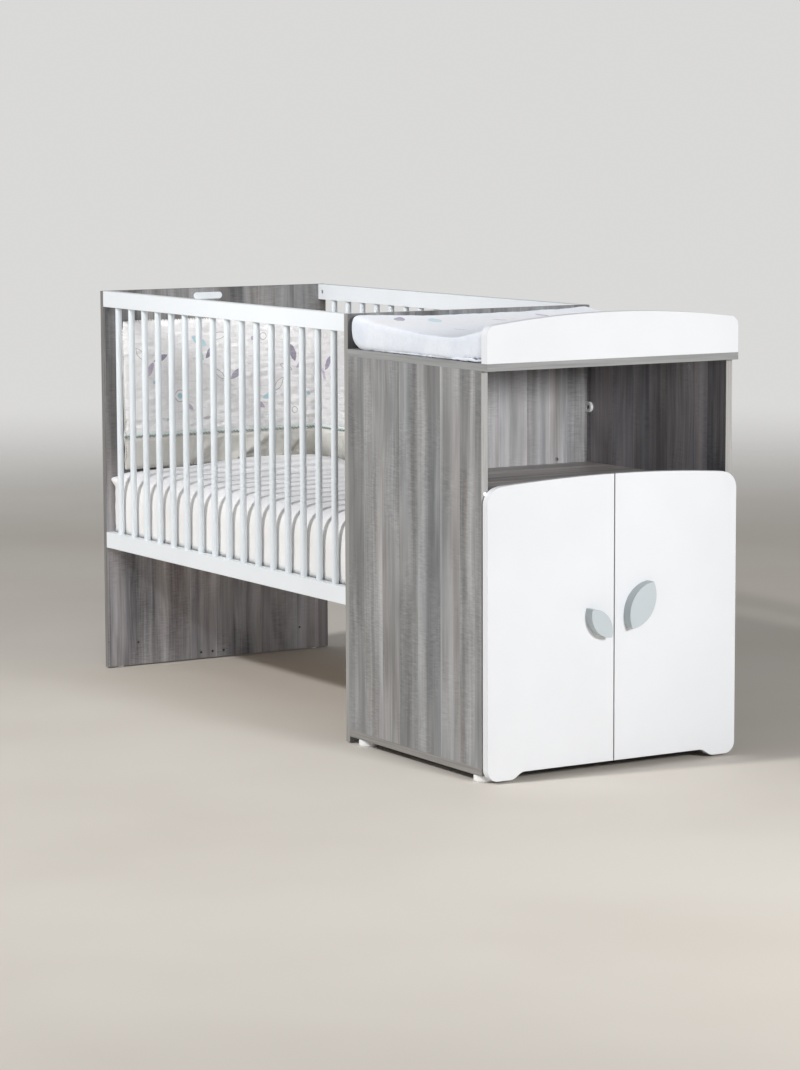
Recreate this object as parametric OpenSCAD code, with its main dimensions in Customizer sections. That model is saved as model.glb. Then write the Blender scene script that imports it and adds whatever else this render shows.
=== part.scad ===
// Crib for a 60 x 120 cm mattress with an attached changer cabinet.
// Long axis along X, head panel at -X, changer doors facing +X, floor at Z = 0.

/* [Crib] */
// Clear length between the head panel and the foot panel
crib_len = 1220; // [1200:5:1240]
// Overall width of crib and cabinet
crib_w = 656; // [650:2:670]
// Height of the head and foot panels above the floor
panel_h = 976; // [960:2:990]
// Thickness of the laminated boards
board_t = 16; // [15:0.5:18]

/* [Side rails and bars] */
// Height of a side rail
rail_h = 40; // [36:1:44]
// Thickness of a side rail
rail_t = 22; // [21:0.5:24]
// Height of the bottom rail's underside above the floor
rail_low = 316; // [300:2:330]
// Number of round bars in each side
bar_n = 16; // [14:1:17]
// Diameter of a bar
bar_d = 16; // [14:0.5:17]

/* [Mattress and bedding] */
// Height of the mattress's underside above the floor
mattress_z = 361; // [360:1:370]
// Thickness of the mattress
mattress_t = 149; // [120:1:150]
// Height of the bumper pad
bumper_h = 388; // [340:2:400]
// Thickness of the bumper pad
bumper_t = 26; // [20:1:28]

/* [Changer cabinet] */
// Depth of the cabinet's side panels
cab_d = 555; // [540:5:580]
// Height of the underside of the top board above the floor
top_z = 882; // [870:2:900]
// Height of the niche's floor above the floor
niche_z = 610; // [600:2:620]
// Height of the glides under the cabinet
glide_h = 16; // [15:0.5:18]
// How far the top board runs past the side panels
top_over = 22; // [21:0.5:24]
// Height of the front upstand above the top board at its middle
upstand_h = 100; // [90:2:110]

/* [Doors] */
// Thickness of the doors
door_t = 18; // [16:1:18]
// Gap between the doors and the cabinet's front edges
door_gap = 3; // [2.5:0.5:3]
// Height of the door tops at the middle above the floor
door_top = 649; // [640:1:655]
// Height of the straight bottom edge of the doors
door_low = 20.7; // [20:0.1:22]
// Thickness of the leaf handles
leaf_t = 25; // [20:1:28]

/* [Hidden] */
$fn = 48;
e = 0.05;                       // clearance on the radius of a fixed fit

L = crib_len; W = crib_w; t = board_t;
xf = L + t;                     // outer face of the foot panel
xs = xf + cab_d;                // front edges of the cabinet's sides
xd = xs + door_gap;             // back face of the doors
xo = xd + door_t;               // front face of the doors
xt = xs + top_over;             // front edge of the top board
x_mid = (xo + leaf_t - t) / 2;  // middle of the whole length
glide_t = 3;                    // small glides under the panels
rz_top = panel_h - rail_h / 2;  // centre height of the top rails
rz_low = rail_low + rail_h / 2; // centre height of the bottom rails
bar_x = [for (i = [0 : bar_n - 1]) (L - bar_n * bar_d) / (bar_n + 1) + bar_d / 2
         + i * ((L - bar_n * bar_d) / (bar_n + 1) + bar_d)];
bar_in = 12;                    // depth of a bar's end in a rail
nut_x = 20;                     // barrel nut's distance from the rail's end
plate_y = 302; plate_z = 956;   // plain plate on the head panel
mat_top = mattress_z + mattress_t;
base_top = mattress_z - 1;
slat_t = 10; bear_h = 26; bear_w = 40;
slat_z = base_top - slat_t;
bear_z = slat_z - bear_h;
link_y = [102, 554]; link_z = [92, 619];
cam_x = [1330, 1652];
hinge_z = [116, 520];
handle_hl = [280, 328.8]; handle_hr = [387.5, 360.5];
cup_y = 22;                     // cup centre's distance from the door's edge

module place() translate([-x_mid, -W / 2, 0]) children();
module mirror_y() { children(); translate([0, W, 0]) mirror([0, 1, 0]) children(); }
module xcyl(d, h) rotate([0, 90, 0]) cylinder(d = d, h = h);
module ycyl(d, h) rotate([-90, 0, 0]) cylinder(d = d, h = h);

/* ---------- crib ---------- */
module rail_points() for (y = [rail_t / 2, W - rail_t / 2], z = [rz_top, rz_low]) translate([0, y, z]) children();

// s is 1 for the head panel and -1 for the foot panel, inner face at x = 0
module crib_panel(head) {
  s = head ? 1 : -1;
  difference() {
    translate([head ? -t : 0, 0, glide_t]) cube([t, W, panel_h - glide_t]);
    // blind holes for the rails' studs
    rail_points() translate([head ? -11 : -1, 0, 0]) xcyl(6 + 2 * e, 12);
    // sockets for the wooden dowels of the rails
    rail_points() translate([head ? -10 : -1, 0, -12]) xcyl(6.1, 11);
    // bracket holes: low position in use, high position free
    for (y = [46, W - 46], z = [bear_z - 12, 579]) translate([head ? -11 : -1, y, z]) xcyl(4.1, 12);
    // free holes near the floor
    for (y = [87, W - 87]) translate([head ? -11 : -1, y, 61]) xcyl(6, 12);
    if (head) {
      for (y = [271, 305, 338]) translate([-11, y, 19]) xcyl(6.5, 12);
      for (y = [plate_y - 28, plate_y + 28]) translate([-9.5, y, plate_z]) xcyl(5 + 2 * e, 11);
    } else {
      for (y = link_y, z = link_z) translate([t - 11, y, z]) xcyl(4.1, 12);
    }
  }
}
module head_panel() color("#8f8a86") crib_panel(true);
module foot_panel() color("#8f8a86") translate([L, 0, 0]) crib_panel(false);

// Rail with outer face at y = 0; up is 1 when the bars enter from above
module rail(zc, up) {
  difference() {
    translate([0, 0, zc - rail_h / 2]) cube([L, rail_t, rail_h]);
    for (x = bar_x) translate([x, rail_t / 2, up > 0 ? zc + rail_h / 2 - bar_in - 0.2 : zc - rail_h / 2 - 1])
      cylinder(d = bar_d + 2 * e, h = bar_in + 1.2);
    for (k = [0, 1]) translate([k * L, 0, zc]) mirror([k, 0, 0]) {
      translate([-1, rail_t / 2, 0]) xcyl(6.4, 41);
      translate([nut_x, 5, 0]) ycyl(10 + 2 * e, rail_t);
      translate([-1, rail_t / 2, -12]) xcyl(6.1, 21);
    }
  }
}
module front_top_rail() color("white") rail(rz_top, -1);
module front_bottom_rail() color("white") rail(rz_low, 1);
module rear_top_rail() color("white") translate([0, W, 0]) mirror([0, 1, 0]) rail(rz_top, -1);
module rear_bottom_rail() color("white") translate([0, W, 0]) mirror([0, 1, 0]) rail(rz_low, 1);
module bars() for (x = bar_x) translate([x, rail_t / 2, rail_low + rail_h - bar_in])
  cylinder(d = bar_d, h = panel_h - rail_low - 2 * rail_h + 2 * bar_in);
module front_bars() color("white") bars();
module rear_bars() color("white") translate([0, W, 0]) mirror([0, 1, 0]) bars();

module plain_plate() color("whitesmoke") union() {
  translate([0, plate_y, plate_z]) rotate([0, 90, 0]) union() {
    for (s = [-1, 1]) translate([0, s * 32.3, 0]) cylinder(d = 17.4, h = 2.5);
    translate([-8.7, -32.3, 0]) cube([17.4, 64.6, 2.5]);
  }
  for (y = [plate_y - 28, plate_y + 28]) translate([-9, y, plate_z]) xcyl(5, 10);
}
module rail_studs() color("silver") for (k = [0, 1]) translate([k * L, 0, 0]) mirror([k, 0, 0]) rail_points()
  difference() {
    translate([-10.5, 0, 0]) xcyl(6, 43);
    translate([30, 0, 0]) rotate([0, 90, 0]) cylinder(d = 3, h = 4, $fn = 6);
  }
module barrel_nuts() color("silver") for (k = [0, 1]) translate([k * L, 0, 0]) mirror([k, 0, 0]) mirror_y()
  for (z = [rz_top, rz_low]) difference() {
    translate([nut_x, 5.5, z]) ycyl(10, rail_t - 6.5);
    translate([nut_x - 8, rail_t / 2, z]) xcyl(6.1, 16);
  }
module rail_dowels() color("burlywood") for (k = [0, 1]) translate([k * L, 0, 0]) mirror([k, 0, 0])
  rail_points() translate([-9.5, 0, -12]) xcyl(6, 29);

// Slatted base
module base_side_bearers() color("burlywood") mirror_y() difference() {
  translate([1.5, 25, bear_z]) cube([L - 3, bear_w, bear_h]);
  for (x = [16, L - 16]) translate([x, 46, bear_z - 1]) cylinder(d = 4.2, h = 18);
}
module base_end_bearers() color("burlywood") for (x = [1.5, L - 1.5 - 30])
  translate([x, 25 + bear_w, bear_z]) cube([30, W - 2 * (25 + bear_w), bear_h]);
module base_slats() color("wheat") for (i = [0 : 11])
  translate([1.5 + i * (L - 3 - 62) / 11, 30, slat_z]) cube([62, W - 60, slat_t]);
module base_brackets() color("silver") for (k = [0, 1]) translate([k * L, 0, 0]) mirror([k, 0, 0]) mirror_y()
  difference() {
    union() {
      translate([0, 32, bear_z - 3]) cube([30, 28, 3]);
      translate([0, 32, bear_z - 22]) cube([3, 28, 20]);
    }
    translate([16, 46, bear_z - 4]) cylinder(d = 4.4, h = 5);
    translate([-1, 46, bear_z - 12]) xcyl(4.4, 5);
  }
module bracket_screws() color("silver") for (k = [0, 1]) translate([k * L, 0, 0]) mirror([k, 0, 0]) mirror_y() {
  translate([16, 46, bear_z - 3]) cylinder(d = 4, h = 17);
  translate([16, 46, bear_z - 5]) cylinder(d = 8, h = 2);
  translate([-10, 46, bear_z - 12]) xcyl(4, 14);
  translate([3, 46, bear_z - 12]) xcyl(8, 2);
}
// Outline of a w x h rectangle with rounded corners
function rr(w, h, r) = [for (k = [0 : 3], a = [0 : 15 : 90])
  [(k == 0 || k == 3 ? w - r : r) + r * cos(90 * k + a), (k < 2 ? h - r : r) + r * sin(90 * k + a)]];
module soft_box(p, s, r) translate(p) intersection() {
  rotate([90, 0, 90]) linear_extrude(height = s[0]) polygon(rr(s[1], s[2], r));
  translate([0, s[1], 0]) rotate([90, 0, 0]) linear_extrude(height = s[1]) polygon(rr(s[0], s[2], r));
}
module mattress() color("ivory") soft_box([3, 23, mattress_z], [L - 6, W - 46, mattress_t], 22);
module bumper_head() color("lightgray")
  soft_box([2, 42, mat_top + 1], [bumper_t, W - 42 - 24, bumper_h], 11);
module bumper_side() color("lightgray")
  soft_box([bumper_t + 4, W - 24 - bumper_t, mat_top + 1], [L - bumper_t - 8, bumper_t, bumper_h - 8], 11);
module panel_glides() color("white") for (x = [-t / 2, L + t / 2], y = [40, W - 40])
  translate([x, y, 0]) difference() {
    union() { cylinder(d = 14, h = glide_t); translate([0, 0, glide_t - 0.5]) cylinder(d = 1, h = 0.5); }
    translate([0, 0, -1]) cylinder(d = 3, h = 2);
  }

/* ---------- changer cabinet ---------- */
cz = glide_h;                    // underside of the carcass
// Left side panel, outer face at y = 0
module cabinet_side() difference() {
  translate([xf, 0, cz + t]) cube([cab_d, t, top_z - cz - t]);
  // cam locks for the top board and their bolts
  for (x = cam_x) {
    translate([x, t - 12.5, top_z - 26]) ycyl(15 + 2 * e, 14);
    translate([x, t / 2, top_z - 27]) cylinder(d = 7.2, h = 28);
  }
  // cam bolts of the niche shelf, and screws from below
  for (x = cam_x) translate([x, t - 11, niche_z - t / 2]) ycyl(5 + 2 * e, 12);
  for (x = cam_x) translate([x, t / 2, cz + t - 1]) cylinder(d = 5 + 2 * e, h = 36);
  // shelf pins
  for (x = [xf + 90, xs - 70], z = [280, 312, 344]) translate([x, t - 9, z]) ycyl(5 + 2 * e, 10);
  // hinge plates
  for (z = hinge_z, dz = [-16, 16]) translate([xs - 37, t - 12, z + dz]) ycyl(3.6, 13);
  translate([xf + t + 12, t - 10, 739]) ycyl(3.6, 11);
  // door pads
  for (z = [60, 622]) translate([xs - 6, t / 2, z]) xcyl(3 + 2 * e, 8);
}
module cabinet_side_left() color("#8f8a86") cabinet_side();
module cabinet_side_right() color("#8f8a86") translate([0, W, 0]) mirror([0, 1, 0]) cabinet_side();
// Cam lock hole and bolt hole at one end of a horizontal board with underside at z
module cam_seat(x, z) {
  translate([x, 34, z - 1]) cylinder(d = 15 + 2 * e, h = 13.5);
  translate([x, t - 1, z + t / 2]) ycyl(7.2, 20);
}
module cabinet_bottom() color("#8f8a86") difference() {
  translate([xf, 0, cz]) cube([cab_d, W, t]);
  mirror_y() for (x = cam_x) translate([x, t / 2, cz - 1]) { cylinder(d = 5.4, h = t + 2); cylinder(d = 10.2, h = 5); }
  mirror_y() for (x = [1281, 1764]) translate([x, 25, cz - 1]) cylinder(d = 3.6, h = 13);
}
module bottom_screws() color("silver") mirror_y() for (x = cam_x) translate([x, t / 2, cz]) {
  translate([0, 0, 0.6]) cylinder(d = 10, h = 3.4);
  translate([0, 0, 0.6]) cylinder(d = 5, h = t + 33);
}
module cabinet_back() color("#a19c98") difference() {
  translate([xf, t, cz + t]) cube([t, W - 2 * t, top_z - cz - t]);
  for (y = link_y, z = link_z) {
    translate([xf - 1, y, z]) xcyl(4.4, t + 2);
    translate([xf + t - 7, y, z]) xcyl(9.2, 8);
  }
}
module niche_shelf() color("#8f8a86") difference() {
  translate([xf + t, t, niche_z - t]) cube([cab_d - t - 1, W - 2 * t, t]);
  mirror_y() for (x = cam_x) cam_seat(x, niche_z - t);
}
module inner_shelf() color("#8f8a86") translate([xf + t + 1, t + 1, 315]) cube([490, W - 2 * t - 2, t]);
module shelf_pins() color("silver") mirror_y() for (x = [xf + 90, xs - 70]) {
  translate([x, t - 8.5, 312]) ycyl(5, 8.5 + 8);
  translate([x, t, 312]) ycyl(8, 1);
}
module top_board() color("#8f8a86") difference() {
  translate([xf, 0, top_z]) cube([cab_d + top_over, W, t]);
  mirror_y() for (x = cam_x) translate([x, t / 2, top_z - 1]) cylinder(d = 5 + 2 * e, h = 12);
  for (y = [90, W / 2, W - 90]) {
    translate([xt - 11, y, top_z - 1]) cylinder(d = 4.4, h = t + 2);
    translate([xt - 11, y, top_z - 1]) cylinder(d = 8.2, h = 4.2);
  }
}
// Outline of the upstand in the Y-Z plane, arched top with rounded corners
up_r = 22; up_drop = 22; up_R = (pow(W / 2, 2) + pow(up_drop, 2)) / (2 * up_drop);
function arch(y, top, R) = top - R + sqrt(R * R - pow(y - W / 2, 2));
up_zc = upstand_h - up_drop - up_r + 3;
function up_outline() = concat(
  [[0, 0]],
  [for (a = [180 : -7.5 : 104]) [up_r + up_r * cos(a), up_zc + up_r * sin(a)]],
  [for (i = [1 : 47]) let (y = up_r + i * (W - 2 * up_r) / 48) [y, arch(y, upstand_h, up_R)]],
  [for (a = [76 : -7.5 : 0]) [W - up_r + up_r * cos(a), up_zc + up_r * sin(a)]],
  [[W, up_zc], [W, 0]]);
module yz_extrude(x, h) translate([x, 0, 0]) rotate([90, 0, 90]) linear_extrude(height = h) children();
module upstand() color("white") difference() {
  translate([0, 0, top_z + t]) yz_extrude(xs, top_over) polygon(up_outline());
  for (y = [90, W / 2, W - 90]) translate([xt - 11, y, top_z + t - 1]) cylinder(d = 4.1, h = 32);
}
module upstand_screws() color("silver") for (y = [90, W / 2, W - 90]) {
  translate([xt - 11, y, top_z + 1]) cylinder(d = 4, h = t + 28);
  translate([xt - 11, y, top_z + 0.2]) cylinder(d = 8, h = 2.8);
}
module cabinet_glides() color("white") mirror_y() for (x = [1281, 1764]) translate([x, 25, 0]) difference() {
  union() {
    cylinder(d1 = 44, d2 = 48, h = 3);
    translate([0, 0, 3]) cylinder(d = 48, h = cz - 3);
  }
  translate([0, 0, -1]) cylinder(d = 12, h = cz - 4);
  translate([0, 0, -1]) cylinder(d = 3.8, h = cz + 2);
}
module glide_screws() color("silver") mirror_y() for (x = [1281, 1764]) translate([x, 25, 0]) {
  translate([0, 0, cz - 7]) cylinder(d = 7, h = 2);
  translate([0, 0, cz - 7]) cylinder(d = 3.5, h = 18);
}
// Cam locks: four under the niche shelf, four in the sides
module cam() difference() {
  cylinder(d = 15, h = 12);
  translate([0, 0, -0.1]) cylinder(d = 6, h = 1.6, $fn = 6);
  translate([-9, 0, 8]) rotate([0, 90, 0]) cylinder(d = 7.4, h = 18);
}
module cam_locks() color("silver") mirror_y() for (x = cam_x) {
  translate([x, 34, niche_z - t]) rotate([0, 0, 90]) cam();
  translate([x, t, top_z - 26]) rotate([90, 0, 0]) rotate([0, 0, 90]) cam();
}
module cam_bolts() color("silver") mirror_y() for (x = cam_x) {
  translate([x, t - 10.5, niche_z - t / 2]) ycyl(5, 10.5 + 24);
  translate([x, t / 2, top_z - 30]) cylinder(d = 5, h = 40);
}
// Round-nosed plastic connector between side wall and back panel
module corner_connectors() color("white") mirror_y() difference() {
  union() {
    translate([xf + t + 12, t, 739]) ycyl(24, 7);
    translate([xf + t, t, 739 - 12]) cube([12, 7, 24]);
  }
  translate([xf + t + 12, t + 3, 739]) ycyl(13, 5);
  translate([xf + t + 12, t - 1, 739]) ycyl(4.2, 9);
}
module connector_screws() color("dimgray") mirror_y() {
  translate([xf + t + 12, t - 9, 739]) ycyl(3.5, 13);
  translate([xf + t + 12, t + 3, 739]) ycyl(8, 2);
}
module link_screws() color("dimgray") for (y = link_y, z = link_z) {
  translate([xf - 10, y, z]) xcyl(4, t - 7 + 12);
  translate([xf + t - 7, y, z]) xcyl(9, 3);
}

/* ---------- doors ---------- */
d_side = 1.5; d_half = 1.5;      // reveals at the outer edge and at the middle
d_r = 37; d_drop = 15; d_R = (pow(W / 2, 2) + pow(d_drop, 2)) / (2 * d_drop);
lobe_z = 5.5; lobe_r = 26; lobe_w = 60; s_w = 34;
// Smooth step from 0 to 1
function sst(u) = u * u * (3 - 2 * u);
// Outline of the pair of doors in the Y-Z plane, from y0 to the middle
top_zc = arch(d_side + d_r, door_top, d_R) - d_r - 1;
function door_outline() = concat(
  [for (a = [180 : 7.5 : 270]) [d_side + lobe_r + lobe_r * cos(a), lobe_z + lobe_r + lobe_r * sin(a)]],
  [for (i = [0 : 16]) let (u = i / 16) [d_side + lobe_w + u * s_w, lobe_z + (door_low - lobe_z) * sst(u)]],
  [[W / 2 - d_half, door_low]],
  [for (i = [0 : 28]) let (y = W / 2 - d_half - i * (W / 2 - d_half - d_side - d_r) / 28) [y, arch(y, door_top, d_R)]],
  [for (a = [97.5 : 7.5 : 180]) [d_side + d_r + d_r * cos(a), top_zc + d_r * sin(a)]]);
function door_screw(c) = [for (s = [-1, 1]) [c[0], c[1] + s * 16]];
module door(c) difference() {
  yz_extrude(xd, door_t) polygon(door_outline());
  for (z = hinge_z) {
    translate([xd - 1, d_side + cup_y, z]) xcyl(35 + 2 * e, 13);
    for (dz = [-24, 24]) translate([xd - 1, d_side + cup_y + 9.5, z + dz]) xcyl(3.6, 12);
  }
  for (p = door_screw(c)) translate([xd - 1, p[0], p[1]]) { xcyl(4.4, door_t + 2); xcyl(8.2, 4.2); }
}
module door_left() color("white") door(handle_hl);
module door_right() color("white") translate([0, W, 0]) mirror([0, 1, 0]) door([W - handle_hr[0], handle_hr[1]]);

// Leaf: the lens between two equal arcs, len long and wid wide
function leaf_R(len, wid) = (len * len / 4 + wid * wid / 4) / wid;
module leaf_2d(len, wid) {
  R = leaf_R(len, wid);
  intersection() {
    translate([R - wid / 2, 0]) circle(r = R, $fn = 160);
    translate([wid / 2 - R, 0]) circle(r = R, $fn = 160);
  }
}
module leaf(c, a, len, wid) difference() {
  translate([0, c[0], c[1]]) yz_extrude(xo, leaf_t) rotate(a) leaf_2d(len, wid);
  for (p = door_screw(c)) translate([xo - 1, p[0], p[1]]) xcyl(4.1, 15);
}
module handle_left() color("#cfd4d6") leaf(handle_hl, 38.4, 82, 42);
module handle_right() color("#cfd4d6") leaf(handle_hr, -29, 114, 59);
module handle_screws(c) for (p = door_screw(c)) translate([xd, p[0], p[1]]) {
  translate([0.4, 0, 0]) xcyl(8, 2.6);
  translate([0.4, 0, 0]) xcyl(4, door_t + 12);
}
module handle_screws_left() color("silver") handle_screws(handle_hl);
module handle_screws_right() color("silver") handle_screws(handle_hr);

// Concealed hinges: cup with wings on the door, arm and plate on the side
module hinge_cups() for (z = hinge_z) difference() {
  union() {
    translate([xd, d_side + cup_y, z]) xcyl(35, 11.6);
    translate([xd - 1.2, d_side + cup_y + 2, z - 31]) cube([1.2, 15, 62]);
    translate([xd - 1.2, d_side + cup_y, z]) xcyl(38, 1.2);
  }
  translate([xd - 2, d_side + cup_y, z]) xcyl(32, 12.2);
  for (dz = [-24, 24]) translate([xd - 3, d_side + cup_y + 9.5, z + dz]) xcyl(3.8, 6);
}
module hinge_cups_left() color("silver") hinge_cups();
module hinge_cups_right() color("silver") translate([0, W, 0]) mirror([0, 1, 0]) hinge_cups();
module cup_screws() for (z = hinge_z, dz = [-24, 24]) translate([xd, d_side + cup_y + 9.5, z + dz]) {
  translate([-2.6, 0, 0]) xcyl(6.4, 1.4);
  translate([-1.4, 0, 0]) xcyl(3.5, 11);
}
module cup_screws_left() color("silver") cup_screws();
module cup_screws_right() color("silver") translate([0, W, 0]) mirror([0, 1, 0]) cup_screws();
module hinge_arms() color("silver") mirror_y() for (z = hinge_z) difference() {
  translate([0, 0, z - 6]) linear_extrude(height = 12) polygon([
    [xs - 62, t + 8], [xs - 62, t + 4.2], [xs - 6, t + 4.2], [xs - 1, t + 5.5],
    [xd + 2, t + 6.5], [xd + 2, t + 13], [xs - 6, t + 14], [xs - 14, t + 8]]);
  translate([xs - 37, t, z]) ycyl(5.2, 12);
}
module hinge_plates() color("silver") mirror_y() for (z = hinge_z) difference() {
  union() {
    translate([xs - 54, t, z - 7]) cube([34, 4, 14]);
    translate([xs - 43, t, z - 24]) cube([12, 2.2, 48]);
  }
  for (dz = [-16, 16]) translate([xs - 37, t - 1, z + dz]) ycyl(3.8, 5);
  translate([xs - 37, t - 1, z]) ycyl(4.4, 8);
}
module plate_fixing_screws() color("silver") mirror_y() for (z = hinge_z) {
  for (dz = [-16, 16]) translate([xs - 37, t, z + dz]) {
    translate([0, -11, 0]) ycyl(3.5, 14);
    translate([0, 2.2, 0]) ycyl(6.4, 1.5);
  }
  translate([xs - 37, t + 0.5, z]) ycyl(4.2, 8);
  translate([xs - 37, t + 8.1, z]) ycyl(7, 1.6);
}
module door_pads() color("gainsboro") mirror_y() for (z = [60, 622]) translate([xs, t / 2, z]) {
  translate([0, 0, 0]) xcyl(9, 2.4);
  translate([-5, 0, 0]) xcyl(3, 6);
}

/* ---------- changing mat ---------- */
mat_x0 = xf + 1.2; mat_w = cab_d - 2.4; mat_end = 3;
// Height of the mat's top over its width, raised along both long edges
function dip(u) = 43 + 36 * pow(abs(1 - u / 0.52), 3.2) * (u < 0.52 ? 1 : 0)
                     + 27 * pow(abs((u - 0.52) / 0.48), 3) * (u < 0.52 ? 0 : 1);
module changing_mat() color("white") translate([0, W - mat_end, top_z + t + 0.3]) rotate([90, 0, 0])
  linear_extrude(height = W - 2 * mat_end) polygon(concat(
    [[mat_x0 + 40, 0], [mat_x0 + 22, 4], [mat_x0 + 8, 15], [mat_x0, 34]],
    [for (i = [0 : 40]) let (u = i / 40, r = 0.045) [mat_x0 + mat_w * u,
      dip(u) - (u < r ? 14 * pow(1 - u / r, 2) : u > 1 - r ? 14 * pow((u - 1 + r) / r, 2) : 0)]],
    [[mat_x0 + mat_w, 22], [mat_x0 + mat_w - 6, 6], [mat_x0 + mat_w - 20, 0]]));

place() head_panel();
place() foot_panel();
place() front_top_rail();
place() front_bottom_rail();
place() rear_top_rail();
place() rear_bottom_rail();
place() front_bars();
place() rear_bars();
place() plain_plate();
place() rail_studs();
place() barrel_nuts();
place() rail_dowels();
place() base_side_bearers();
place() base_end_bearers();
place() base_slats();
place() base_brackets();
place() bracket_screws();
place() mattress();
place() bumper_head();
place() bumper_side();
place() panel_glides();
place() cabinet_side_left();
place() cabinet_side_right();
place() cabinet_bottom();
place() cabinet_back();
place() niche_shelf();
place() inner_shelf();
place() shelf_pins();
place() top_board();
place() upstand();
place() upstand_screws();
place() cabinet_glides();
place() glide_screws();
place() bottom_screws();
place() cam_locks();
place() cam_bolts();
place() corner_connectors();
place() connector_screws();
place() link_screws();
place() door_left();
place() door_right();
place() handle_left();
place() handle_right();
place() handle_screws_left();
place() handle_screws_right();
place() hinge_cups_left();
place() hinge_cups_right();
place() cup_screws_left();
place() cup_screws_right();
place() hinge_arms();
place() hinge_plates();
place() plate_fixing_screws();
place() door_pads();
place() changing_mat();
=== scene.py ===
import bpy, math
import numpy as np
from mathutils import Matrix, Vector, noise
from mathutils.bvhtree import BVHTree


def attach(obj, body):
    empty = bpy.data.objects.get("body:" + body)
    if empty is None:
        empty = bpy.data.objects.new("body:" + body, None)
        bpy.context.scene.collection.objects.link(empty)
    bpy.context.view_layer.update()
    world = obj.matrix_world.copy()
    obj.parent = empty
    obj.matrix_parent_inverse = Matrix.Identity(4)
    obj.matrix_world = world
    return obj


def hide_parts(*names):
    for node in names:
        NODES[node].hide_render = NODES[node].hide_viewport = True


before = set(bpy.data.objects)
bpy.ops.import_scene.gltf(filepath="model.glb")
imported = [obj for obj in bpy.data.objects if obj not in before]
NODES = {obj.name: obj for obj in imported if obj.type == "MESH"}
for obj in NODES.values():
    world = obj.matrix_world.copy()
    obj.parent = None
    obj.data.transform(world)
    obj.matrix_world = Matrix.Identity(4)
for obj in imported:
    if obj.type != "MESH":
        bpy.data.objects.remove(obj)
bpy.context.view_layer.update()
ROOT, LEFT, RIGHT, MAT = "crib_and_cabinet", "left_door", "right_door", "mat"
scene = bpy.context.scene


def P(x, y, z):
    """Millimetres from the head panel's inner face, the front face and the floor, to the model's metres."""
    return Vector(((x - 910.5) / 1000, (y - 328) / 1000, z / 1000))


def lin(h, k=1.0):
    v = [int(h[i : i + 2], 16) / 255 for i in (1, 3, 5)]
    v = [c / 12.92 if c <= 0.04045 else ((c + 0.055) / 1.055) ** 2.4 for c in v]
    return (*[min(1.0, c * k) for c in v], 1.0)


# ---------------------------------------------------------------- camera
def make_camera():
    a, p, r = (math.radians(v) for v in (58.778, 7.114, -0.226))
    fwd, rt, up = Vector((-math.sin(a), math.cos(a), 0)), Vector((math.cos(a), math.sin(a), 0)), Vector((0, 0, 1))
    f2, u2 = fwd * math.cos(p) - up * math.sin(p), up * math.cos(p) + fwd * math.sin(p)
    r3, u3 = rt * math.cos(r) + u2 * math.sin(r), u2 * math.cos(r) - rt * math.sin(r)
    m = Matrix((r3, u3, -f2)).transposed().to_4x4()
    m.translation = P(7661.577, -3759.712, 1406.028)
    cam = bpy.data.cameras.new("camera")
    cam.sensor_fit, cam.sensor_width, cam.lens = "HORIZONTAL", 36.0, 3322.701 / 800 * 36
    cam.clip_end = 200
    o = bpy.data.objects.new("camera", cam)
    o.matrix_world = m
    scene.collection.objects.link(o)
    scene.camera = o


make_camera()
scene.view_settings.view_transform = "Standard"


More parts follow.
